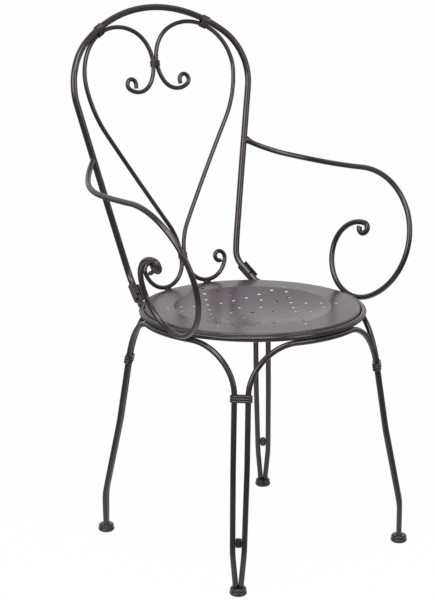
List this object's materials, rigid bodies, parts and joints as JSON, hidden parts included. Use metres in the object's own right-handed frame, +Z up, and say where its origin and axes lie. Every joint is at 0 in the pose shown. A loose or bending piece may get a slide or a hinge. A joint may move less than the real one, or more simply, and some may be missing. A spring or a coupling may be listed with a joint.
{
  "type": "garden armchair",
  "caption": "Garden armchair of bent steel rod with a round dished and pierced seat, hoop back with heart scrolls, scrolled arms and splayed legs on round feet.",
  "frame": {"origin": "on the floor, under the middle of the round seat", "axes": "+Z up, -Y towards the chair's front, -X towards the sitter's right hand, which the part names left as seen from the front"},
  "size_m": [0.5524, 0.5155, 0.9605],
  "materials": {
    "frame_paint": "satin dark anthracite powder coat on steel rod and tube",
    "seat_paint": "satin dark anthracite powder coat on pressed steel sheet",
    "foot_plastic": "dull black moulded plastic"
  },
  "bodies": {
    "root": {"arm_left": "frame_paint", "arm_right": "frame_paint", "back_hoop": "frame_paint", "back_socket_left": "frame_paint", "back_socket_right": "frame_paint", "back_stub_left": "frame_paint", "back_stub_right": "frame_paint", "foot_back": "foot_plastic", "foot_front": "foot_plastic", "foot_left": "foot_plastic", "foot_right": "foot_plastic", "heart_rod_left": "frame_paint", "heart_rod_right": "frame_paint", "heart_tie_lower": "frame_paint", "heart_tie_upper": "frame_paint", "hoop_collar_left": "frame_paint", "hoop_collar_right": "frame_paint", "leg_arch_back": "frame_paint", "leg_arch_front": "frame_paint", "leg_arch_left": "frame_paint", "leg_arch_right": "frame_paint", "leg_collar_back": "frame_paint", "leg_collar_front": "frame_paint", "leg_collar_left": "frame_paint", "leg_collar_right": "frame_paint", "leg_spacer_back": "frame_paint", "leg_spacer_front": "frame_paint", "leg_spacer_left": "frame_paint", "leg_spacer_right": "frame_paint", "seat_pan": "seat_paint", "seat_ring": "frame_paint"}
  },
  "joints": []
}
